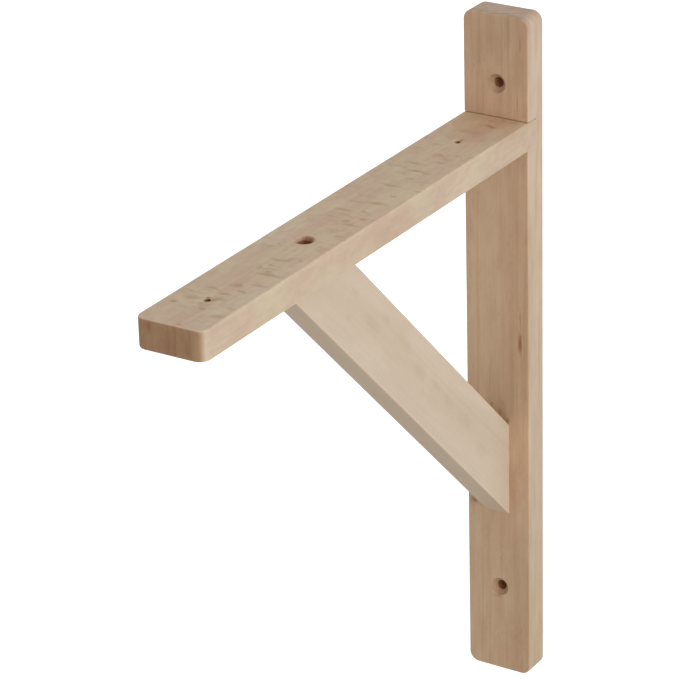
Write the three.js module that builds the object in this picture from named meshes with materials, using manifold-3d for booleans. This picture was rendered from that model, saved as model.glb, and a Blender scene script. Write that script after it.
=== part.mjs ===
// Shelf bracket of three planed beech battens: an upright that is screwed to the wall, an arm that
// carries the shelf, and a brace between them. Millimetres, +Z up. The wall is the plane y = 0, the
// arm reaches out along -Y, and the origin is on the wall, level with the top of the arm.

import * as THREE from "three";
import { mergeVertices } from "three/addons/utils/BufferGeometryUtils.js";
import Module from "manifold-3d";

const wasm = await Module();
wasm.setup();

// Upright
const bracketWidth = 34;
const uprightHeight = 340;
const uprightThickness = 14;
const uprightAboveArm = 50;
const uprightCornerRadius = 5;

// Arm, whose back end is let into a housing across the upright
const armReach = 280;
const armThickness = 14;
const armCornerRadius = 5;
const housingDepth = 7;

// Brace, measured from the inner corner between the upright and the arm to its middle line
const braceReach = 165;
const braceDrop = 165;
const braceWidth = 34;
const braceThickness = 14;
const braceOffset = -1;

// Clearance in the joints, and the easing of the battens' long edges
const jointGap = 0.3;
const edgeEase = 0.8;

// Screw holes: shank and countersink of the wall screws, of the brace screw and of the shelf screws,
// and how far from the battens' ends and off their middle line they are bored
const countersinkAngle = Math.PI / 2;
const wallHole = { bore: 5, head: 9 };
const braceHole = { bore: 6.5, head: 9.5 };
const shelfHole = { bore: 3, head: 6 };
const topWallHoleInset = 33.5;
const footWallHoleInset = 45.5;
const rearShelfHoleInset = 36;
const frontShelfHoleInset = 28;
const holeOffset = 0.5;
const braceHoleOffset = 1;

// How far a cutter runs past the faces that it opens, and the fineness of round shapes
const overrun = 1;
const cornerSegments = 8;
const easeSegments = 1;
const holeSegments = 40;

// Places that follow from the sizes
const uprightTop = uprightAboveArm;
const uprightFoot = uprightAboveArm - uprightHeight;
const uprightFront = -uprightThickness;
const armUnderside = -armThickness;
const armBack = uprightFront + housingDepth - jointGap;
const braceHeadY = uprightFront - braceReach;

function toSolid(geometry) {
  const bare = geometry.clone();
  bare.deleteAttribute("normal");
  bare.deleteAttribute("uv");
  const merged = mergeVertices(bare);
  return new wasm.Manifold(
    new wasm.Mesh({
      numProp: 3,
      vertProperties: new Float32Array(merged.attributes.position.array),
      triVerts: new Uint32Array(merged.index.array),
    }),
  );
}

function toGeometry(solid) {
  const { vertProperties, triVerts } = solid.getMesh();
  const geometry = new THREE.BufferGeometry();
  geometry.setAttribute("position", new THREE.Float32BufferAttribute(vertProperties, 3));
  geometry.setIndex([...triVerts]);
  const faceted = geometry.toNonIndexed();
  faceted.computeVertexNormals();
  return faceted;
}

// An outline drawn in X and Y, as thick as depth along Z, with its edges eased at both faces
function easedPlate(outline, depth) {
  return new THREE.ExtrudeGeometry(outline, {
    depth: depth - 2 * edgeEase,
    bevelEnabled: true,
    bevelThickness: edgeEase,
    bevelSize: edgeEase,
    bevelOffset: -edgeEase,
    bevelSegments: easeSegments,
    curveSegments: cornerSegments,
  }).translate(0, 0, edgeEase);
}

// A rectangle from the left edge x0 to x1 and from y0 to y1, with round corners at each end as asked
function battenOutline(x0, x1, y0, y1, radiusAtStart, radiusAtEnd) {
  const outline = new THREE.Shape();
  const quarter = Math.PI / 2;
  outline.moveTo(x0, y0 + radiusAtStart);
  if (radiusAtStart > 0) {
    outline.absarc(x0 + radiusAtStart, y0 + radiusAtStart, radiusAtStart, 2 * quarter, 3 * quarter);
    outline.absarc(x1 - radiusAtStart, y0 + radiusAtStart, radiusAtStart, 3 * quarter, 4 * quarter);
  } else {
    outline.lineTo(x1, y0);
  }
  if (radiusAtEnd > 0) {
    outline.absarc(x1 - radiusAtEnd, y1 - radiusAtEnd, radiusAtEnd, 0, quarter);
    outline.absarc(x0 + radiusAtEnd, y1 - radiusAtEnd, radiusAtEnd, quarter, 2 * quarter);
  } else {
    outline.lineTo(x1, y1);
    outline.lineTo(x0, y1);
  }
  outline.closePath();
  return outline;
}

// The cutter of a countersunk hole: its axis is Z, its wide mouth is at z = 0 and it runs down
function screwHoleCutter({ bore, head }, thickness) {
  const coneDepth = (head - bore) / 2 / Math.tan(countersinkAngle / 2);
  const profile = [
    new THREE.Vector2(0, -thickness - overrun),
    new THREE.Vector2(bore / 2, -thickness - overrun),
    new THREE.Vector2(bore / 2, -coneDepth),
    new THREE.Vector2(head / 2, 0),
    new THREE.Vector2(head / 2, overrun),
    new THREE.Vector2(0, overrun),
  ];
  return new THREE.LatheGeometry(profile, holeSegments).rotateX(Math.PI / 2);
}

function buildUpright() {
  const half = bracketWidth / 2;
  const outline = battenOutline(
    -half, half, uprightFoot, uprightTop, uprightCornerRadius, uprightCornerRadius,
  );
  // Standing the outline up turns its thickness from +Z to -Y
  let solid = toSolid(easedPlate(outline, uprightThickness).rotateX(Math.PI / 2));

  const housing = new THREE.BoxGeometry(
    bracketWidth + 2 * overrun,
    housingDepth + overrun,
    armThickness + 2 * jointGap,
  );
  housing.translate(0, uprightFront + (housingDepth - overrun) / 2, armUnderside / 2);
  solid = solid.subtract(toSolid(housing));

  for (const z of [uprightTop - topWallHoleInset, uprightFoot + footWallHoleInset]) {
    const cutter = screwHoleCutter(wallHole, uprightThickness);
    cutter.rotateX(Math.PI / 2).translate(holeOffset, uprightFront, z);
    solid = solid.subtract(toSolid(cutter));
  }
  return toGeometry(solid);
}

function buildArm() {
  const half = bracketWidth / 2;
  const outline = battenOutline(-half, half, -armReach, armBack, armCornerRadius, 0);
  let solid = toSolid(easedPlate(outline, armThickness).translate(0, 0, armUnderside));

  const overBrace = screwHoleCutter(braceHole, armThickness);
  overBrace.translate(braceHoleOffset, braceHeadY, 0);
  solid = solid.subtract(toSolid(overBrace));

  // The shelf screws are driven up from below, so their countersinks are in the underside
  for (const y of [uprightFront - rearShelfHoleInset, -armReach + frontShelfHoleInset]) {
    const cutter = screwHoleCutter(shelfHole, armThickness);
    cutter.rotateX(Math.PI).translate(holeOffset, y, armUnderside);
    solid = solid.subtract(toSolid(cutter));
  }
  return toGeometry(solid);
}

// The brace is drawn in side view, out from the wall and up, and cut to the faces that it meets
function buildBrace() {
  const length = Math.hypot(braceReach, braceDrop);
  const halfFoot = ((braceWidth / 2) * length) / braceReach;
  const halfHead = ((braceWidth / 2) * length) / braceDrop;
  const footOut = uprightThickness + jointGap;
  const headUp = armUnderside - jointGap;

  const outline = new THREE.Shape();
  outline.moveTo(footOut, headUp - braceDrop - halfFoot);
  outline.lineTo(footOut + braceReach + halfHead, headUp);
  outline.lineTo(footOut + braceReach - halfHead, headUp);
  outline.lineTo(footOut, headUp - braceDrop + halfFoot);
  outline.closePath();

  // Out from the wall becomes -Y, up becomes Z, and the thickness lies along X
  const geometry = easedPlate(outline, braceThickness);
  const outward = new THREE.Vector3(0, -1, 0);
  const upward = new THREE.Vector3(0, 0, 1);
  const across = new THREE.Vector3().crossVectors(outward, upward);
  geometry.applyMatrix4(new THREE.Matrix4().makeBasis(outward, upward, across));
  geometry.translate(braceOffset - (across.x * braceThickness) / 2, 0, 0);
  return toGeometry(toSolid(geometry));
}

// Planed, unfinished beech. The brace is cut from a paler board than the other two battens.
function beech(colour) {
  return new THREE.MeshStandardMaterial({ color: colour, roughness: 0.62, metalness: 0 });
}

function batten(name, geometry, colour) {
  const mesh = new THREE.Mesh(geometry, beech(colour));
  mesh.name = name;
  return mesh;
}

const shelfBracket = new THREE.Group();
shelfBracket.name = "shelf_bracket";
shelfBracket.add(batten("upright", buildUpright(), 0xbd9c7e));
shelfBracket.add(batten("arm", buildArm(), 0xc4a88a));
shelfBracket.add(batten("brace", buildBrace(), 0xcfbaa0));

export default shelfBracket;
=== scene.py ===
# %% [markdown]
# # A wooden shelf bracket
# Three planed beech battens make this bracket: an upright that is screwed to the wall, an arm that
# carries the shelf, and a brace between them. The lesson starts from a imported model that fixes
# every size and place, and then makes what that model leaves plain: eased edges, clean screw holes,
# tight joints and, above all, the wood itself.

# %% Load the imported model
import math
from dataclasses import dataclass

import bmesh
import bpy
from mathutils import Euler, Matrix, Vector


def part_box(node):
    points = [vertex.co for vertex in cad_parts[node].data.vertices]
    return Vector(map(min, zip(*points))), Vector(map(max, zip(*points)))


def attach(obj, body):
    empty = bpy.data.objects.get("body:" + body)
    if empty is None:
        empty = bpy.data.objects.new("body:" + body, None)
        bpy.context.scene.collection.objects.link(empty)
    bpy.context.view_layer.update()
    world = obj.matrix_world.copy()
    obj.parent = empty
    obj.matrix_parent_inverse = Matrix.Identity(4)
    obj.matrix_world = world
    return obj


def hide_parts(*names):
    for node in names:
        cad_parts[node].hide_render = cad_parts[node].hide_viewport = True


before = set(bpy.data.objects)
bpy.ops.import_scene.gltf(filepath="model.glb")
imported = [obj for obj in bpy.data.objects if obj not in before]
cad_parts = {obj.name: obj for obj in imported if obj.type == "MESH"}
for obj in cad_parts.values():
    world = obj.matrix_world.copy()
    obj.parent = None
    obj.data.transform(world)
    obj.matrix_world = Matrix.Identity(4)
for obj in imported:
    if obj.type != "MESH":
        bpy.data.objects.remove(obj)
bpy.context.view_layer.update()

# %% [markdown]
# ## Sizes
# The lengths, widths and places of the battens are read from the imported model, so that a batten here
# can never drift away from the solid that it stands for. A box doesn't say how wide a countersink
# or the sloping brace is, or how far a corner is rounded, so those few sizes are written here once,
# in millimetres, and turned into metres.

# %% Read the sizes
MM = 0.001
FORWARD = Vector((0, -1, 0))
UPWARD = Vector((0, 0, 1))

upright_low, upright_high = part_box("upright")
arm_low, arm_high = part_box("arm")
brace_low, brace_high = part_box("brace")

wall_side = upright_high.y
upright_front = upright_low.y
arm_top = arm_high.z
arm_underside = arm_low.z
arm_free_end = arm_low.y

corner_radius = 5 * MM
arris_radius = 0.8 * MM
housing_depth = 7 * MM
tight_joint = 0.03 * MM
open_joint = 0.35 * MM
brace_width = 34 * MM
arm_reach = wall_side - arm_free_end
upright_height = upright_high.z - upright_low.z
print(f"arm reaches {arm_reach:.3f} m, upright is {upright_height:.3f} m high")

# %% [markdown]
# ## The camera
# The bracket is seen from above its right front, through a long lens, so its edges hardly converge.
# The camera is placed first, by the point that it aims at and by its turn, height, roll and
# distance, because everything after it is judged in its picture.

# %% Place the camera
aim_point = Vector((-104.4, 11.0, -145.3)) * MM
camera_turn = math.radians(32.64)
camera_height = math.radians(24.37)
camera_roll = math.radians(-1.56)
camera_distance = 1.739
lens_length = 185.3
farthest_seen = 20

back = Vector((
    math.sin(camera_turn) * math.cos(camera_height),
    -math.cos(camera_turn) * math.cos(camera_height),
    math.sin(camera_height),
))
level_right = UPWARD.cross(back).normalized()
roll = Matrix.Rotation(camera_roll, 3, back)
right = roll @ level_right
up = roll @ back.cross(level_right)

camera = bpy.data.objects.new("camera", bpy.data.cameras.new("camera"))
camera.data.lens = lens_length
camera.data.clip_end = farthest_seen
camera.matrix_world = Matrix.Translation(aim_point + back * camera_distance) @ Matrix(
    (right, up, back)
).transposed().to_4x4()
bpy.context.scene.collection.objects.link(camera)
bpy.context.scene.camera = camera
print("camera at", tuple(round(v, 3) for v in camera.location))

# %% [markdown]
# ## A planed batten
# A planed batten is a straight bar with flat faces and sharp edges, which are called arrises. The
# maker rounds some of its corners on a sander and then takes the sharpness off the arrises with fine
# paper. The same order works here: a cube is stretched to size, the chosen corners are beveled with
# a large radius, and then every edge that is still sharp gets a very small one. The small bevel
# matters, because a perfectly sharp edge never catches the light. Three marks are kept on the faces
# for the wood finish: which of them were sanded as arrises, which were bored and which countersunk.

# %% Make a batten
CORNER_STEPS = 10
ARRIS_STEPS = 4
SHARP = math.radians(50)
PARALLEL = 0.999
WELD = 0.001 * MM


def planed_bar(low, high):
    bar = bmesh.new()
    bmesh.ops.create_cube(bar, size=1)
    bmesh.ops.scale(bar, vec=high - low, verts=bar.verts)
    bmesh.ops.translate(bar, vec=(low + high) / 2, verts=bar.verts)
    for mark in ("eased", "bored", "countersunk"):
        bar.faces.layers.float.new(mark)
    return bar


def round_off(bar, edges, radius, steps, eased=0.0):
    rounded = bmesh.ops.bevel(
        bar, geom=edges, offset=radius, offset_type="OFFSET", affect="EDGES",
        segments=steps, profile=0.5, material=-1, clamp_overlap=True,
    )
    for face in rounded["faces"]:
        face[bar.faces.layers.float["eased"]] = eased


def middle(edge):
    return (edge.verts[0].co + edge.verts[1].co) / 2


def runs_along(edge, axis):
    return abs((edge.verts[1].co - edge.verts[0].co).normalized().dot(axis)) > PARALLEL


def sharp_edges(bar):
    return [edge for edge in bar.edges if edge.calc_face_angle(0) > SHARP]


def finish_mesh(bar, name):
    bmesh.ops.remove_doubles(bar, verts=bar.verts, dist=WELD)
    bmesh.ops.recalc_face_normals(bar, faces=bar.faces)
    mesh = bpy.data.meshes.new(name)
    bar.to_mesh(mesh)
    bar.free()
    piece = bpy.data.objects.new(name, mesh)
    bpy.context.scene.collection.objects.link(piece)
    return piece


# %% [markdown]
# ## Screw holes
# Each hole is bored first and then countersunk, so that the screw's head sinks level with the wood.
# The shape of a hole is the shape of its cutter, and a cutter is a body of revolution: half of its
# outline is drawn once and spun about its axis. The mouth flares by a hair at the very edge, as the
# fibres there are worn by the bit. The wall of each bore is darkened with painted shade, which stands
# for the shade deep in the hole, some holes more than others, so each cutter says how much. The
# cutter is then taken away from the batten by a boolean, and its marks "bored" and "countersunk" stay
# on the faces that it leaves; "bored" also carries how strong the painted shade is.

# %% Spin the cutters
TURN_STEPS = 64
ABOVE = 2 * MM
STEEP = 0.2
rim_flare = 0.15 * MM


def spun_cutter(name, bore, head, depth, mouth, into, bore_shade=1.0):
    """A countersink bit with its wide end at the point mouth, pointing into the wood along into."""
    cone = (head - bore) / 2
    outline = [
        (0, -ABOVE),
        (head / 2 + rim_flare, -ABOVE),
        (head / 2 + rim_flare, 0),
        (head / 2, rim_flare),
        (bore / 2, cone + rim_flare),
        (bore / 2, depth),
        (0, depth),
    ]
    bit = bmesh.new()
    points = [bit.verts.new((radius, 0, along)) for radius, along in outline]
    edges = [bit.edges.new(pair) for pair in zip(points, points[1:])]
    bmesh.ops.spin(
        bit, geom=points + edges, cent=(0, 0, 0), axis=(0, 0, 1), dvec=(0, 0, 0),
        angle=2 * math.pi, steps=TURN_STEPS, use_merge=True, use_duplicate=False,
    )
    bit.normal_update()
    bored = bit.faces.layers.float.new("bored")
    countersunk = bit.faces.layers.float.new("countersunk")
    for face in bit.faces:
        steep = abs(face.normal.z) < STEEP
        # The "bored" mark also carries how strong the painted shade on the bore wall is.
        face[bored] = bore_shade * steep
        face[countersunk] = float(not steep)
    aim = UPWARD.rotation_difference(into).to_matrix().to_4x4()
    bmesh.ops.transform(bit, matrix=Matrix.Translation(mouth) @ aim, verts=bit.verts)
    return finish_mesh(bit, name)


def carve(piece, cutters):
    for cutter in cutters:
        cut = piece.modifiers.new("cut", "BOOLEAN")
        cut.operation = "DIFFERENCE"
        cut.solver = "EXACT"
        cut.object = cutter
    shaped = piece.evaluated_get(bpy.context.evaluated_depsgraph_get())
    carved = bpy.data.meshes.new_from_object(shaped)
    carved.name = piece.name
    piece.modifiers.clear()
    piece.data = carved
    for cutter in cutters:
        bpy.data.objects.remove(cutter)


def keep_bores_crisp(piece):
    """A clean bit leaves a crisp edge where the bore starts, so that edge isn't shaded smooth."""
    skin = bmesh.new()
    skin.from_mesh(piece.data)
    bored = skin.faces.layers.float["bored"]
    for edge in skin.edges:
        if len({face[bored] > 0 for face in edge.link_faces}) > 1:
            edge.smooth = False
    skin.to_mesh(piece.data)
    skin.free()


def shade(piece, crisp_bores=False):
    """Flat faces stay flat and rounded edges are shaded smooth."""
    piece.data.shade_smooth()
    piece.data.set_sharp_from_angle(angle=SHARP)
    if crisp_bores:
        keep_bores_crisp(piece)
    weighted = piece.modifiers.new("flat faces", "WEIGHTED_NORMAL")
    weighted.keep_sharp = True
    print(f"{piece.name}: {len(piece.data.polygons)} faces")


# %% [markdown]
# ## The upright
# The upright lies flat on the wall. Its four corners are rounded through its whole thickness. Two
# countersunk holes take the wall screws, and a housing, a square trench half as deep as the batten,
# crosses its front where the arm is let in. The housing is cut with a bar that has the arm's own
# section, so the joint closes tightly round it, and only above the arm does a thin dark line stay
# open, as it does on a real joint that was pushed home from the front.

# %% Shape the upright
wall_bore, wall_head = 5 * MM, 9 * MM
top_hole_inset = 33.5 * MM
foot_hole_inset = 45.5 * MM
hole_offset = 0.5 * MM
THROUGH = 20 * MM

bar = planed_bar(upright_low, upright_high)
round_off(bar, [e for e in bar.edges if runs_along(e, FORWARD)], corner_radius, CORNER_STEPS)
round_off(bar, sharp_edges(bar), arris_radius, ARRIS_STEPS, eased=1.0)
upright_batten = finish_mesh(bar, "upright_batten")

trench = planed_bar(
    Vector((arm_low.x - tight_joint, upright_front - ABOVE, arm_underside - tight_joint)),
    Vector((arm_high.x + tight_joint, upright_front + housing_depth, arm_top + open_joint)),
)
low_edges = [e for e in trench.edges if runs_along(e, FORWARD) and middle(e).z < arm_underside]
round_off(trench, low_edges, arris_radius, ARRIS_STEPS)
housing = finish_mesh(trench, "housing")

hole_heights = (upright_high.z - top_hole_inset, upright_low.z + foot_hole_inset)
wall_holes = [
    spun_cutter(
        "wall_hole", wall_bore, wall_head, THROUGH, Vector((hole_offset, upright_front, z)), -FORWARD
    )
    for z in hole_heights
]
carve(upright_batten, [housing, *wall_holes])
shade(upright_batten, crisp_bores=True)

# %% [markdown]
# ## The arm
# The arm's back end stays square, because it sits in the housing, and its free end has two rounded
# corners. The hole over the brace is countersunk from above for the screw that holds the brace. The
# two small holes near the ends take screws that are driven up into the shelf, so their countersinks
# are underneath and only a small round mouth shows on top. The bore of the front one gets painted
# shade nearly as dark as the wall holes, the rear one hardly any.

# %% Shape the arm
brace_bore, brace_head = 6.5 * MM, 9.5 * MM
shelf_bore, shelf_head = 3 * MM, 6 * MM
rear_hole_inset = 36 * MM
front_hole_inset = 28 * MM
brace_hole_offset = 1 * MM
# How strong the painted shade on the bore walls of the rear and the front shelf hole is.
rear_bore_shade, front_bore_shade = 0.1, 0.9
mitre = math.radians(45)
brace_middle = (brace_low.x + brace_high.x) / 2
half_mitre = brace_width / 2 / math.sin(mitre)
brace_head_y = brace_low.y + half_mitre

arm_back = upright_front + housing_depth - tight_joint
bar = planed_bar(arm_low, Vector((arm_high.x, arm_back, arm_high.z)))
free_corners = [
    e for e in bar.edges if runs_along(e, UPWARD) and middle(e).y < arm_free_end + corner_radius
]
round_off(bar, free_corners, corner_radius, CORNER_STEPS)
arrises = [e for e in sharp_edges(bar) if middle(e).y < arm_back - tight_joint]
round_off(bar, arrises, arris_radius, ARRIS_STEPS, eased=1.0)
arm_batten = finish_mesh(bar, "arm_batten")

brace_screw_hole = spun_cutter(
    "brace_hole", brace_bore, brace_head, THROUGH,
    Vector((brace_hole_offset, brace_head_y, arm_top)), -UPWARD,
)
shelf_holes = [
    spun_cutter(
        "shelf_hole", shelf_bore, shelf_head, THROUGH, Vector((hole_offset, y, arm_underside)), UPWARD,
        bore_shade,
    )
    for y, bore_shade in (
        (upright_front - rear_hole_inset, rear_bore_shade),
        (arm_free_end + front_hole_inset, front_bore_shade),
    )
]
carve(arm_batten, [brace_screw_hole, *shelf_holes])
shade(arm_batten)

# %% [markdown]
# ## The brace
# The brace is sawn from the same batten and mitred at both ends. It is made as it is sawn: a bar
# that is too long is turned to its slope, and two flat cuts, one along the arm's underside and one
# along the upright's front, take its ends off. Its arrises are eased last.

# %% Shape the brace
inner_corner = Vector((brace_middle, upright_front - tight_joint, arm_underside - tight_joint))
head_middle = Vector((brace_middle, brace_head_y, inner_corner.z))
foot_middle = Vector((brace_middle, inner_corner.y, brace_low.z + half_mitre))
slope = (head_middle - foot_middle).normalized()
brace_thickness = brace_high.x - brace_low.x
spare = 60 * MM

half_size = Vector((brace_thickness, brace_width, (head_middle - foot_middle).length + spare)) / 2
bar = planed_bar(-half_size, half_size)
lean = UPWARD.rotation_difference(slope).to_matrix().to_4x4()
place = Matrix.Translation((head_middle + foot_middle) / 2) @ lean
bmesh.ops.transform(bar, matrix=place, verts=bar.verts)


def saw_off(bar, point, waste_side):
    parts = bar.verts[:] + bar.edges[:] + bar.faces[:]
    cut = bmesh.ops.bisect_plane(
        bar, geom=parts, plane_co=point, plane_no=waste_side, clear_outer=True, dist=WELD
    )
    rim = [part for part in cut["geom_cut"] if isinstance(part, bmesh.types.BMEdge)]
    bmesh.ops.edgeloop_fill(bar, edges=rim)


saw_off(bar, inner_corner, UPWARD)
saw_off(bar, inner_corner, -FORWARD)
bmesh.ops.recalc_face_normals(bar, faces=bar.faces)
long_arrises = [e for e in bar.edges if runs_along(e, slope)]
round_off(bar, long_arrises, arris_radius, ARRIS_STEPS, eased=1.0)
brace_batten = finish_mesh(bar, "brace_batten")
shade(brace_batten)
print("brace slope:", round(math.degrees(math.asin(slope.z)), 2), "degrees")

# %% [markdown]
# ## Wiring a material
# A wood is many thin layers of detail, each of them a few nodes. A small desk keeps the wiring
# readable: its methods add a node or two, connect what they are given and hand back the result.

# %% Build the wiring desk


class Desk:
    def __init__(self, name):
        self.material = bpy.data.materials.new(name)
        self.material.use_nodes = True
        self.tree = self.material.node_tree
        self.tree.nodes.clear()

    def add(self, kind, inputs, **settings):
        node = self.tree.nodes.new("ShaderNode" + kind)
        for key, value in settings.items():
            setattr(node, key, value)
        for key, value in inputs.items():
            self.connect(node.inputs[key], value)
        return node

    def connect(self, socket, value):
        if isinstance(value, bpy.types.NodeSocket):
            self.tree.links.new(value, socket)
        else:
            socket.default_value = value

    def math(self, operation, *values):
        return self.add("Math", dict(enumerate(values)), operation=operation).outputs[0]

    def vector(self, operation, first, second):
        return self.add("VectorMath", {0: first, 1: second}, operation=operation).outputs[0]

    def join(self, x=0.0, y=0.0, z=0.0):
        return self.add("CombineXYZ", {0: x, 1: y, 2: z}).outputs[0]

    def part(self, vector, axis):
        return self.add("SeparateXYZ", {0: vector}).outputs[axis]

    def noise(self, place, cell, detail=2.0, roughness=0.5):
        """Soft cloudy noise whose blobs measure about cell, given along each axis in millimetres."""
        shrunk = self.vector("DIVIDE", place, cell)
        inputs = {"Vector": shrunk, "Scale": 1.0, "Detail": detail, "Roughness": roughness}
        return self.add("TexNoise", inputs).outputs["Fac"]

    def ramp(self, value, start, end, low=0.0, high=1.0):
        inputs = {"Value": value, "From Min": start, "From Max": end, "To Min": low, "To Max": high}
        return self.add("MapRange", inputs, interpolation_type="SMOOTHSTEP").outputs[0]

    def blend(self, amount, first, second, how="MIX"):
        node = self.add("Mix", {0: amount}, data_type="RGBA", blend_type=how)
        self.connect(node.inputs[6], first)
        self.connect(node.inputs[7], second)
        return node.outputs[2]


def tone(red, green, blue):
    """A screen colour, 0 to 255, as the linear colour that a shader expects."""
    def linear(value):
        value /= 255
        return value / 12.92 if value <= 0.04045 else ((value + 0.055) / 1.055) ** 2.4
    return (linear(red), linear(green), linear(blue), 1.0)


WHITE = (1.0, 1.0, 1.0, 1.0)

# %% [markdown]
# ## A batten in its log
# Beech shows a different figure on each face of a batten, and which one depends on how the batten
# was cut from the log. So the wood isn't painted face by face. It is described in the log's own
# directions, outwards from the pith, round the log and along it, and each board only says where
# its pith was. Growth rings, rays and fibres then meet every face, hole and rounded end at the right
# angle by themselves.

# %% Find a point in the log


@dataclass
class Board:
    """How a batten lay in its log, in millimetres, and how strong each figure of its wood is."""

    name: str
    turn: Euler
    pith: tuple
    offset: tuple
    pale: tuple
    warm: tuple
    low_tint: tuple
    high_tint: tuple
    flat_sawn: tuple
    quarter_sawn: tuple
    end_grain: tuple
    countersink: tuple
    mottle: tuple
    cloud_size: tuple
    ring_width: float
    ring_strength: float
    streak_strength: float
    silk_strength: float
    ray_size: tuple
    ray_waviness: float
    flat_rays: float
    quarter_rays: float
    span: tuple
    marks: tuple = ()


SWAY_SIZE = (45, 45, 150)
SWAY_REACH = (8, 6, 0)
NOISE_MIDDLE = 0.5


def batten_place(desk, board):
    """A point of the batten in millimetres, turned so that the batten's length is the third axis."""
    source = desk.add("TexCoord", {}).outputs["Object"]
    scale = (1 / MM, 1 / MM, 1 / MM)
    return desk.add("Mapping", {"Vector": source, "Rotation": board.turn, "Scale": scale}).outputs[0]


def log_place(desk, board, place):
    """The same point as millimetres outwards from the pith, round the log and along it."""
    slow = desk.vector("DIVIDE", desk.vector("ADD", place, board.offset), SWAY_SIZE)
    sway = desk.add("TexNoise", {"Vector": slow, "Scale": 1.0, "Detail": 1.0}).outputs["Color"]
    sway = desk.vector("MULTIPLY", desk.vector("SUBTRACT", sway, 3 * (NOISE_MIDDLE,)), SWAY_REACH)
    beside = desk.vector("SUBTRACT", desk.vector("ADD", place, sway), (*board.pith, 0))
    outwards = desk.part(beside, 0)
    sideways = desk.part(beside, 1)
    squares = [desk.math("MULTIPLY", side, side) for side in (outwards, sideways)]
    radius = desk.math("SQRT", desk.math("ADD", *squares))
    angle = desk.math("ARCTAN2", sideways, outwards)
    round_log = desk.math("MULTIPLY", angle, math.hypot(*board.pith))
    polar = desk.join(radius, round_log, desk.part(beside, 2))
    return desk.vector("ADD", polar, board.offset)


# %% [markdown]
# ## Colour, rings and streaks
# Under every figure lie broad clouds of paler and warmer wood, longer than they are wide.
# Each growth ring darkens slowly outwards and ends at a thin line. Streaks of darker fibres run
# along the batten for a hand's width and fade again. All three are faint: beech is a quiet wood, and
# its figure is lost at arm's length. Every size is in millimetres outwards from the pith, round the
# log and along it, and every pair of numbers tells between which values a figure fades in.

# %% Lay down the colour
CLOUD_FADE = (0.34, 0.66)
MOTTLE_FADE = (0.35, 0.65)
MOTTLES_PER_CLOUD = 4
RING_SHIFT_SIZE, RING_SHIFT = (12, 60, 300), 1.6
LATE_WOOD, RING_END = (0.35, 0.92), (0.93, 1.0)
RING_CHANGE_SIZE, RING_CHANGE_FADE, FAINTEST_RING = (6, 50, 200), (0.35, 0.65), 0.4
BROAD_STREAK_SIZE, BROAD_STREAK_FADE = (3.2, 1.5, 150), (0.54, 0.72)
NARROW_STREAK_SIZE, NARROW_STREAK_FADE, NARROW_STREAK_DEPTH = (1.6, 0.6, 60), (0.58, 0.72), 0.7


def ground_colour(desk, board, place, log):
    cloud = desk.noise(log, board.cloud_size, detail=2.5)
    colour = desk.blend(desk.ramp(cloud, *CLOUD_FADE), board.pale, board.warm)
    mottle_size = tuple(side / MOTTLES_PER_CLOUD for side in board.cloud_size)
    mottle = desk.ramp(desk.noise(log, mottle_size), *MOTTLE_FADE)
    colour = desk.blend(mottle, colour, board.mottle, "MULTIPLY")
    along = desk.part(place, 2)
    drift = desk.ramp(along, *board.span)
    tint = desk.blend(drift, board.low_tint, board.high_tint)
    return desk.blend(1.0, colour, tint, "MULTIPLY")


def ring_lines(desk, board, log):
    """Nought in the early wood of a ring, rising to one at its late edge."""
    uneven = desk.math("MULTIPLY", desk.noise(log, RING_SHIFT_SIZE, detail=1.0), RING_SHIFT)
    count = desk.math("ADD", desk.math("DIVIDE", desk.part(log, 0), board.ring_width), uneven)
    ring = desk.math("FRACT", count)
    late = desk.math("SUBTRACT", desk.ramp(ring, *LATE_WOOD), desk.ramp(ring, *RING_END))
    change = desk.noise(log, RING_CHANGE_SIZE, detail=0.0)
    return desk.math("MULTIPLY", late, desk.ramp(change, *RING_CHANGE_FADE, FAINTEST_RING, 1.0))


def dark_streaks(desk, board, log):
    broad = desk.ramp(desk.noise(log, BROAD_STREAK_SIZE, detail=2.0), *BROAD_STREAK_FADE)
    narrow = desk.ramp(desk.noise(log, NARROW_STREAK_SIZE, detail=1.0), *NARROW_STREAK_FADE)
    both = desk.math("MAXIMUM", broad, desk.math("MULTIPLY", narrow, NARROW_STREAK_DEPTH))
    return desk.math("MULTIPLY", both, board.streak_strength)


# %% [markdown]
# ## Fibres, pores and rays
# The fibres are too fine to see one by one, and only give the face its silky lines. The pores are
# short, narrow scratches along the batten. The rays are what tells beech from other woods: thin
# ribbons that run outwards from the pith. On a flat-sawn face they are cut across and show as short
# dark dashes along the batten, and on a quarter-sawn face they lie open as wavy flakes across it.
# A few flakes are larger than the rest, and here and there the whole board is a little paler,
# warmer or stained. A few of the marks are painted light and shade instead: a painted shadow beside
# the brace's foot, painted light on the strip right of it, and painted shade where the arm meets
# the upright. Those marks can't be left to chance, so each of them has its own place.

# %% Draw the fine figure
FIBRE_SIZE, FIBRE_ROUGHNESS = (0.5, 0.5, 30), 0.62
PORE_SIZE, PORE_FADE = (0.25, 0.25, 3.0), (0.60, 0.70)
RAY_WAVE_SIZE = (6, 6, 10)
BROAD_RAY_FADE, THIN_RAY_FADE, THIN_RAY_DEPTH = (0.48, 0.76), (0.58, 0.80), 0.2
RAY_PATCH_SIZE, RAY_PATCH_FADE = (22, 30, 22), (0.40, 0.64)
MARK_FADE = (0.5, 1.5)
CRUMBS_PER_MARK = 3
RAGGEDNESS = 0.8


def fine_fibres(desk, log):
    return desk.noise(log, FIBRE_SIZE, detail=4.0, roughness=FIBRE_ROUGHNESS)


def fine_pores(desk, log):
    return desk.ramp(desk.noise(log, PORE_SIZE, detail=1.0), *PORE_FADE)


def ray_waves(desk, board, log):
    """How far the rays bend up and down the batten as they run outwards."""
    noise = desk.math("SUBTRACT", desk.noise(log, RAY_WAVE_SIZE, detail=1.0), NOISE_MIDDLE)
    return desk.join(z=desk.math("MULTIPLY", noise, board.ray_waviness))


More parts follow.
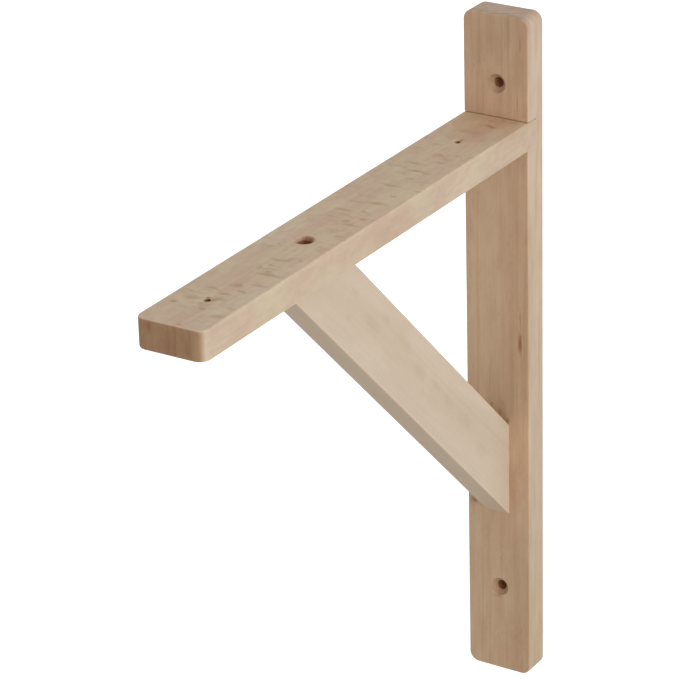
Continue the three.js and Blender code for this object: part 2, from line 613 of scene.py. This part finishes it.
def rays(desk, board, log, waves):
    """Nought between the rays and one in them."""
    bent = desk.vector("ADD", log, waves)
    broad = desk.ramp(desk.noise(bent, board.ray_size, detail=1.0), *BROAD_RAY_FADE)
    small = tuple(side / 2 for side in board.ray_size)
    thin = desk.ramp(desk.noise(bent, small, detail=0.0), *THIN_RAY_FADE)
    patch = desk.ramp(desk.noise(log, RAY_PATCH_SIZE, detail=1.0), *RAY_PATCH_FADE)
    in_patches = desk.math("MULTIPLY", broad, patch)
    return desk.math("MAXIMUM", in_patches, desk.math("MULTIPLY", thin, THIN_RAY_DEPTH))


def one_mark(desk, place, waves, centre, half_size):
    """A single flake or patch with ragged edges, at its own place on the batten."""
    bent = desk.vector("ADD", place, waves)
    offset = desk.vector("DIVIDE", desk.vector("SUBTRACT", bent, centre), half_size)
    distance = desk.add("VectorMath", {0: offset}, operation="LENGTH").outputs["Value"]
    crumb = tuple(half / CRUMBS_PER_MARK for half in half_size)
    ragged = desk.math("MULTIPLY", desk.noise(place, crumb, detail=1.0), RAGGEDNESS)
    return desk.ramp(desk.math("ADD", distance, ragged), *MARK_FADE, 1.0, 0.0)


# %% [markdown]
# ## Faces, edges and holes
# The same wood looks different on each kind of face, so each board has a tint for its flat-sawn
# faces, for its quarter-sawn ones and for its end grain, whose open fibres swallow some light. The
# bore walls get painted shade, a darker tint that stands for the shade inside the holes. Each
# countersink has a tint of its own that is painted light and shade on the cone: a little darker,
# painted shade, in the wall holes, and paler, painted light that lifts the cone's shade, over the
# brace. The arrises were rubbed with fine paper, which leaves them a touch paler and smoother.

# %% Tell the faces apart
FACING_FADE = (0.4, 0.95)


def face_kinds(desk, board):
    """How much a face is flat-sawn, quarter-sawn and end grain, each from nought to one."""
    facing = desk.add("TexCoord", {}).outputs["Normal"]
    turned = desk.add(
        "VectorRotate", {"Vector": facing, "Rotation": board.turn}, rotation_type="EULER_XYZ"
    ).outputs[0]
    facings = [desk.math("ABSOLUTE", desk.part(turned, axis)) for axis in range(3)]
    return [desk.ramp(facing_axis, *FACING_FADE) for facing_axis in facings]


def face_mark(desk, name):
    return desk.add("Attribute", {}, attribute_name=name).outputs["Fac"]


# %% [markdown]
# ## The finished wood
# The layers are laid over each other from broad to fine, and each darkens what is under it by a few
# parts in a hundred. Then the kinds of face get their own tints. The planed surface is matt: the
# fibres stand up by some hundredths of a millimetre and the pores and rays sink, which the bump
# shows where light grazes the face.

# %% Lay the figure over the colour
END_RINGS = 0.28
STREAK_TINT = tone(204, 184, 166)
RAY_TINT = tone(186, 154, 130)
FIBRE_FADE = (0.3, 0.7)


def figured_colour(desk, board, place, log, waves, ribbons, kinds):
    """The ground colour with its rings, streaks, rays and marks."""
    flat, quarter, end_grain = kinds
    colour = ground_colour(desk, board, place, log)
    ring_depth = desk.math("ADD", board.ring_strength, desk.math("MULTIPLY", end_grain, END_RINGS))
    rings = desk.math("MULTIPLY", ring_lines(desk, board, log), ring_depth)
    colour = desk.blend(rings, colour, STREAK_TINT, "MULTIPLY")
    colour = desk.blend(dark_streaks(desk, board, log), colour, STREAK_TINT, "MULTIPLY")
    on_flat = desk.math("MULTIPLY", flat, board.flat_rays)
    on_quarter = desk.math("MULTIPLY", quarter, board.quarter_rays)
    ray_depth = desk.math("MULTIPLY", ribbons, desk.math("ADD", on_flat, on_quarter))
    colour = desk.blend(ray_depth, colour, RAY_TINT, "MULTIPLY")
    for centre, half_size, tint in board.marks:
        colour = desk.blend(one_mark(desk, place, waves, centre, half_size), colour, tint, "MULTIPLY")
    return colour


def silky(desk, board, colour, fibres, pores):
    """The fibres make the wood paler and darker by turns, and the pores darken it."""
    silk = desk.ramp(fibres, *FIBRE_FADE, 1 - board.silk_strength, 1 + board.silk_strength)
    silk = desk.math("SUBTRACT", silk, desk.math("MULTIPLY", pores, board.silk_strength))
    return desk.blend(1.0, colour, desk.join(silk, silk, silk), "MULTIPLY")


# %% Tint the kinds of face
# Painted shade: a darker tint on the bore walls that stands for the shade inside the holes.
BORE_SHADE_TINT = tone(229, 186, 140)
SANDED_TINT = (1.05, 1.04, 1.03, 1.0)


def tinted_faces(desk, board, colour, kinds, bored, eased):
    flat, quarter, end_grain = kinds
    for amount, tint in (
        (flat, board.flat_sawn),
        (quarter, board.quarter_sawn),
        (end_grain, board.end_grain),
        (bored, BORE_SHADE_TINT),
        # The countersink tint is painted light and shade on the cones of the holes.
        (face_mark(desk, "countersunk"), board.countersink),
        (eased, SANDED_TINT),
    ):
        colour = desk.blend(amount, colour, tint, "MULTIPLY")
    return colour


# %% Plane the surface
FIBRE_RELIEF, PORE_RELIEF, RAY_RELIEF = 0.6, 0.5, 0.2
RELIEF_STRENGTH, RELIEF_HEIGHT = 0.55, 0.06 * MM
PLANED_ROUGHNESS = (0.58, 0.70)
OPEN_FIBRE_ROUGHNESS, SANDED_SMOOTHNESS = 0.14, 0.08


def planed_relief(desk, fibres, pores, ribbons):
    relief = desk.math("MULTIPLY", fibres, FIBRE_RELIEF)
    for sunk, depth in ((pores, PORE_RELIEF), (ribbons, RAY_RELIEF)):
        relief = desk.math("SUBTRACT", relief, desk.math("MULTIPLY", sunk, depth))
    inputs = {"Height": relief, "Strength": RELIEF_STRENGTH, "Distance": RELIEF_HEIGHT}
    return desk.add("Bump", inputs).outputs[0]


def planed_roughness(desk, fibres, end_grain, bored, eased):
    """Open fibres, on end grain and in bores, are the roughest, and sanded arrises the smoothest."""
    rough = desk.ramp(fibres, *FIBRE_FADE, *PLANED_ROUGHNESS)
    open_fibres = desk.math("MAXIMUM", end_grain, bored)
    rough = desk.math("ADD", rough, desk.math("MULTIPLY", open_fibres, OPEN_FIBRE_ROUGHNESS))
    return desk.math("SUBTRACT", rough, desk.math("MULTIPLY", eased, SANDED_SMOOTHNESS))


# %% Put the wood together
WOOD_SPECULAR, WOOD_IOR = 0.3, 1.45


def beech(board):
    desk = Desk(board.name)
    place = batten_place(desk, board)
    log = log_place(desk, board, place)
    fibres = fine_fibres(desk, log)
    pores = fine_pores(desk, log)
    waves = ray_waves(desk, board, log)
    ribbons = rays(desk, board, log, waves)
    kinds = face_kinds(desk, board)
    end_grain = kinds[-1]
    bored = face_mark(desk, "bored")
    eased = face_mark(desk, "eased")

    colour = figured_colour(desk, board, place, log, waves, ribbons, kinds)
    colour = silky(desk, board, colour, fibres, pores)
    shader = desk.add("BsdfPrincipled", {
        "Base Color": tinted_faces(desk, board, colour, kinds, bored, eased),
        "Roughness": planed_roughness(desk, fibres, end_grain, bored, eased),
        "Normal": planed_relief(desk, fibres, pores, ribbons),
        "Specular IOR Level": WOOD_SPECULAR,
        "IOR": WOOD_IOR,
    })
    desk.add("OutputMaterial", {"Surface": shader.outputs[0]})
    print(f"{board.name}: {len(desk.tree.nodes)} nodes")
    return desk.material


# %% [markdown]
# ## Three battens, three boards
# The arm's top was cut towards the pith, so flakes cross it. The upright's front was cut along the
# rings, so it shows fine lines and dashes that run with the batten. The brace is from a paler and
# plainer board. Each turn below brings the batten's own length onto the log's axis. A mark is given
# by its middle and its half sizes, on the turned batten in millimetres, and by a tint that is
# multiplied into the wood: below one it darkens, above one it makes paler.

# %% Name the tints
WARM_WOOD = (0.90, 0.85, 0.83, 1.0)
MELLOW_WOOD = (0.95, 0.88, 0.87, 1.0)
BARELY_WARM_WOOD = (0.97, 0.94, 0.93, 1.0)
GOLDEN_WOOD = (1.0, 0.98, 0.91, 1.0)
GREY_WOOD = tone(249, 246, 241)
BARELY_PALE_WOOD = (1.04, 1.05, 1.05, 1.0)
PALE_WOOD = (1.03, 1.09, 1.12, 1.0)
FLAKE_TINT = tone(235, 227, 219)
FAINT_TINT = tone(244, 239, 234)
REDDISH_TINT = tone(239, 224, 214)
print("tints of flakes and patches named")

# %% Choose the boards
QUARTER = math.pi / 2
FLAKE_DEPTH = 1.5


def flakes_on_top(tint, *flakes):
    """Flakes of one tint on the arm's top: across, along, half across and half along."""
    return tuple(((x, 0, y), (wide, FLAKE_DEPTH, long), tint) for x, y, wide, long in flakes)


brace_lean = -math.acos(slope.z)

upright_board = Board(
    "upright beech", turn=Euler((0, 0, QUARTER)), pith=(-70, -40), offset=(0, 210, 35),
    pale=tone(208, 188, 166), warm=tone(203, 179, 157),
    low_tint=tone(241, 240, 235), high_tint=(1.03, 1.04, 1.05, 1.0),
    flat_sawn=tone(255, 240, 223), quarter_sawn=WHITE, end_grain=tone(252, 247, 248),
    # The countersink tint here is painted shade on the cones of the wall holes.
    countersink=tone(230, 217, 207), mottle=tone(250, 248, 247), cloud_size=(14, 17, 60),
    ring_width=3.6, ring_strength=0.07, streak_strength=0.20, silk_strength=0.03,
    ray_size=(1.6, 0.35, 2.6), ray_waviness=0, flat_rays=0.20, quarter_rays=0.05,
    span=(upright_low.z / MM, upright_high.z / MM),
    marks=(
        ((16, 0, 48), (7, 50, 44), tone(236, 235, 231)),
        # Painted light: lifts the brace's shade on the strip right of the brace foot, standing for
        # light bounced off the brace.
        ((16, 13, -172), (7, 10, 44), (1.13, 1.14, 1.20, 1.0)),
        ((14, 15, -256), (3, 14, 66), WARM_WOOD),
        ((14, 15, -66), (3, 14, 90), BARELY_WARM_WOOD),
        ((14, 15, 34), (3, 14, 44), MELLOW_WOOD),
        ((14, -14, -256), (3, 14, 60), PALE_WOOD),
        ((14, -10, -96), (3, 20, 80), BARELY_PALE_WOOD),
        ((14, -14, 46), (3, 14, 26), BARELY_WARM_WOOD),
        ((7, 17, -262), (14, 3, 60), GOLDEN_WOOD),
        ((7, 17, -150), (14, 3, 50), BARELY_PALE_WOOD),
        ((7, 17, -56), (14, 3, 64), GOLDEN_WOOD),
        ((7, 17, 34), (14, 3, 30), BARELY_PALE_WOOD),
        ((14, 12.2, -111.5), (4, 1.3, 7.5), tone(200, 173, 150)),
        ((14, 12.5, -99), (4, 0.9, 6), tone(238, 224, 210)),
        ((14, 12.8, 37), (4, 0.6, 5), tone(232, 216, 202)),
        ((14, 11.2, 8), (4, 0.6, 8), tone(236, 222, 208)),
        ((14, -0.5, -249.8), (4, 3.4, 1.6), tone(238, 224, 210)),
        # Painted shadow: the shadow that the brace's foot casts onto the upright's front, just left of
        # the brace.
        ((14, -13.2, -200.3), (4, 2.8, 2.2), tone(220, 192, 170)),
        ((14, -3.4, -146.8), (4, 1.2, 1.6), tone(230, 207, 188)),
        ((14, 1.2, -150), (4, 1.4, 2.4), tone(228, 205, 186)),
        ((14, 5.4, -153.6), (4, 1.4, 1.8), tone(228, 205, 186)),
    ),
)
arm_board = Board(
    "arm beech", turn=Euler((QUARTER, 0, 0)), pith=(-95, 12), offset=(0, 0, 55),
    pale=tone(217, 195, 165), warm=tone(214, 187, 161), low_tint=WHITE, high_tint=WHITE,
    flat_sawn=tone(244, 247, 251), quarter_sawn=(1.02, 1.03, 1.03, 1.0), end_grain=tone(197, 177, 156),
    # The countersink tint above one is painted light that lifts the shade in the cone over the brace.
    countersink=(1.08, 1.04, 1.02, 1.0), mottle=tone(250, 248, 247), cloud_size=(12, 14, 26),
    ring_width=3.4, ring_strength=0.05, streak_strength=0.06, silk_strength=0.03,
    ray_size=(7, 1.5, 2.4), ray_waviness=5, flat_rays=0.05, quarter_rays=0.28,
    span=(arm_free_end / MM, upright_front / MM),
    marks=(
        # Painted shade: the arm's top darkens towards the joint with the upright, with the warm light
        # the upright bounces onto it.
        ((0, 0, -12), (26, 3, 37), tone(250, 236, 222)),
        ((0, 0, -42), (12, 3, 14), MELLOW_WOOD),
        ((0, 0, -152), (9, 3, 30), BARELY_WARM_WOOD),
        ((13, 0, -248), (11, 3, 56), PALE_WOOD),
        ((14, 0, -150), (11, 3, 110), BARELY_PALE_WOOD),
        ((-13, 0, -176), (11, 3, 34), PALE_WOOD),
        ((17, 7, -140), (3, 14, 38), BARELY_WARM_WOOD),
        ((17, 7, -78), (3, 14, 24), BARELY_PALE_WOOD),
        ((17, 7, -30), (3, 14, 24), BARELY_WARM_WOOD),
        ((-9.5, 3, -280), (1.6, 4, 4), tone(232, 216, 204)),
        ((0, 8, -280), (4.5, 9, 4), tone(243, 236, 230)),
        ((9, 9, -280), (2, 6, 4), tone(240, 231, 224)),
        *flakes_on_top(tone(228, 208, 196), (0.9, -47.6, 1.4, 3.2)),
        *flakes_on_top(tone(196, 172, 150), (-0.6, -250.9, 1.6, 1.7)),
        *flakes_on_top(tone(222, 214, 200), (2.6, -251.6, 1.2, 1.4)),
        *flakes_on_top(tone(232, 216, 202), (3.8, -25.6, 6, 1.9)),
        *flakes_on_top(tone(240, 236, 224), (12.9, -263.5, 4.6, 2.8)),
        *flakes_on_top(
            REDDISH_TINT,
            (1, -67.6, 3.4, 1.6), (6.5, -75.6, 3.4, 1.6), (7.1, -140.8, 2.4, 1.6),
            (11.1, -147.9, 2.4, 2.0), (-11.2, -258.4, 2.6, 1.6), (3.7, -277.5, 1.8, 1.2),
        ),
        *flakes_on_top(
            FLAKE_TINT,
            (-3.5, -81.2, 6, 2.2), (3.7, -89.6, 9, 1.5), (0.5, -109.4, 7, 1.8),
            (15.2, -109.4, 2.6, 1.6), (9, -120.2, 2.2, 1.8), (7, -130, 7, 2.0),
            (-2.5, -142.5, 6, 1.8), (5.4, -152.8, 3, 1.6), (10, -156.6, 5, 2.0),
            (4.5, -202, 6, 2.2), (8.5, -218.3, 9.5, 1.9), (11.6, -228.9, 5, 1.7),
            (2.8, -233.7, 4.4, 3.2), (8, -238.3, 4, 1.6), (-3.7, -240.7, 6, 1.5),
            (2.7, -243, 4, 1.5), (4.4, -249.4, 4.6, 3.0), (-7, -252.4, 5, 2.4),
        ),
        *flakes_on_top(
            FAINT_TINT,
            (-0.5, -36, 9, 2.6), (4.4, -98.1, 4.6, 2.2), (-1.5, -131.6, 4.6, 2.0),
            (11.6, -199.4, 3, 1.6), (13.2, -254.5, 4, 1.8), (3.6, -258.4, 3.6, 1.5),
        ),
    ),
)
brace_board = Board(
    "brace beech", turn=Euler((brace_lean, 0, QUARTER)), pith=(-70, 30), offset=(-90, 0, 140),
    pale=tone(210, 193, 173), warm=tone(206, 188, 168), low_tint=WHITE, high_tint=WHITE,
    flat_sawn=tone(243, 238, 229), quarter_sawn=(1.01, 1.0, 0.98, 1.0), end_grain=tone(214, 190, 168),
    countersink=WHITE, mottle=tone(254, 254, 253), cloud_size=(14, 17, 50),
    ring_width=3.0, ring_strength=0.03, streak_strength=0.05, silk_strength=0.018,
    ray_size=(5, 0.6, 1.2), ray_waviness=4, flat_rays=0.04, quarter_rays=0.06,
    span=(0, 1),
    marks=(
        ((135, 6, -8), (11, 4, 130), tone(251, 250, 248)),
        ((129.7, 6, 80), (2.4, 2, 5), GREY_WOOD),
        ((140.8, 6, 77), (1.8, 2, 3.6), GREY_WOOD),
        ((133.9, 6, 57), (4, 2, 13), GREY_WOOD),
        ((127.5, 6, 45.6), (2.6, 2, 5), GREY_WOOD),
        ((130.1, 6, 22), (3.6, 2, 11), GREY_WOOD),
        ((134.6, 6, 0), (4, 2, 9), GREY_WOOD),
        ((133.1, 6, -18), (2.6, 2, 7), GREY_WOOD),
        ((134.4, 6, -36), (3, 2, 8), GREY_WOOD),
        ((135, 6, -56), (4, 2, 12), GREY_WOOD),
        ((140, 6, -82.5), (5, 2, 9), GREY_WOOD),
    ),
)

# %% [markdown]
# ## Putting the pieces in the frame
# Each batten rides on the one body of the model, takes the place of the plain solid with the same
# sizes, and names the finish that it shows.

# %% Hand the battens over
for piece, node, board in (
    (upright_batten, "upright", upright_board),
    (arm_batten, "arm", arm_board),
    (brace_batten, "brace", brace_board),
):
    piece.data.materials.clear()
    piece.data.materials.append(beech(board))
    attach(piece, "root")
    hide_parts(node)
    print(piece.name, "stands for", node)

# %% [markdown]
# ## Floor and light
# Pale wood is photographed on a white sweep. A large soft light stands on the right, a little in
# front, and makes the side faces the brightest. A weak reflector, low in front, opens up the end of
# the arm and the undersides. The room itself fills the rest, half as strong from below as from
# above, so no face is ever black. The sweep is so bright that its own glow would wash out the
# undersides, so it is kept from lighting the wood.

# %% Lay the floor
PAPER_ROUGHNESS = 0.9


def glowing_paper(name, colour, glow):
    surface = bpy.data.materials.new(name)
    surface.use_nodes = True
    shader = surface.node_tree.nodes["Principled BSDF"]
    shader.inputs["Base Color"].default_value = colour
    shader.inputs["Roughness"].default_value = PAPER_ROUGHNESS
    shader.inputs["Specular IOR Level"].default_value = 0.0
    shader.inputs["Emission Color"].default_value = WHITE
    shader.inputs["Emission Strength"].default_value = glow
    return surface


floor_drop = 0.35
floor_size = 30
floor_colour = (0.8, 0.8, 0.8, 1.0)
floor_glow = 0.75
floor_height = upright_low.z - floor_drop

sheet = bmesh.new()
bmesh.ops.create_grid(sheet, x_segments=1, y_segments=1, size=floor_size / 2)
bmesh.ops.translate(sheet, vec=(0, 0, floor_height), verts=sheet.verts)
floor = finish_mesh(sheet, "floor")
floor.data.materials.append(glowing_paper("floor paper", floor_colour, floor_glow))
floor.visible_diffuse = False
print("floor at", round(floor_height, 3), "m")

# %% Set the lights


def soft_light(name, place, size, power):
    light = bpy.data.objects.new(name, bpy.data.lights.new(name, "AREA"))
    light.data.shape = "SQUARE"
    light.data.size = size
    light.data.energy = power
    light.location = place
    light.rotation_euler = (aim_point - Vector(place)).to_track_quat("-Z", "Y").to_euler()
    bpy.context.scene.collection.objects.link(light)
    print(f"{name}: {power} W")


soft_light("side light", place=(1.6, -0.65, 0.15), size=1.2, power=14)
soft_light("low reflector", place=(0.0, -1.2, -1.0), size=1.2, power=4)

# %% Light the room
LIGHT_ABOVE = 0.62
LIGHT_BELOW = 0.32
STRAIGHT_DOWN = -1.0
OVER_THE_HORIZON = 0.2

room = bpy.data.worlds.new("room")
room.use_nodes = True
walls = room.node_tree.nodes["Background"]
direction = room.node_tree.nodes.new("ShaderNodeTexCoord")
height = room.node_tree.nodes.new("ShaderNodeSeparateXYZ")
fade = room.node_tree.nodes.new("ShaderNodeMapRange")
fade.inputs["From Min"].default_value = STRAIGHT_DOWN
fade.inputs["From Max"].default_value = OVER_THE_HORIZON
fade.inputs["To Min"].default_value = LIGHT_BELOW
fade.inputs["To Max"].default_value = LIGHT_ABOVE
room.node_tree.links.new(direction.outputs["Generated"], height.inputs[0])
room.node_tree.links.new(height.outputs["Z"], fade.inputs["Value"])
room.node_tree.links.new(fade.outputs[0], walls.inputs["Strength"])
walls.inputs["Color"].default_value = WHITE
bpy.context.scene.world = room
bpy.context.scene.view_settings.view_transform = "Standard"
bpy.context.scene.view_settings.look = "None"
print(f"room light: {LIGHT_ABOVE} above, {LIGHT_BELOW} below")
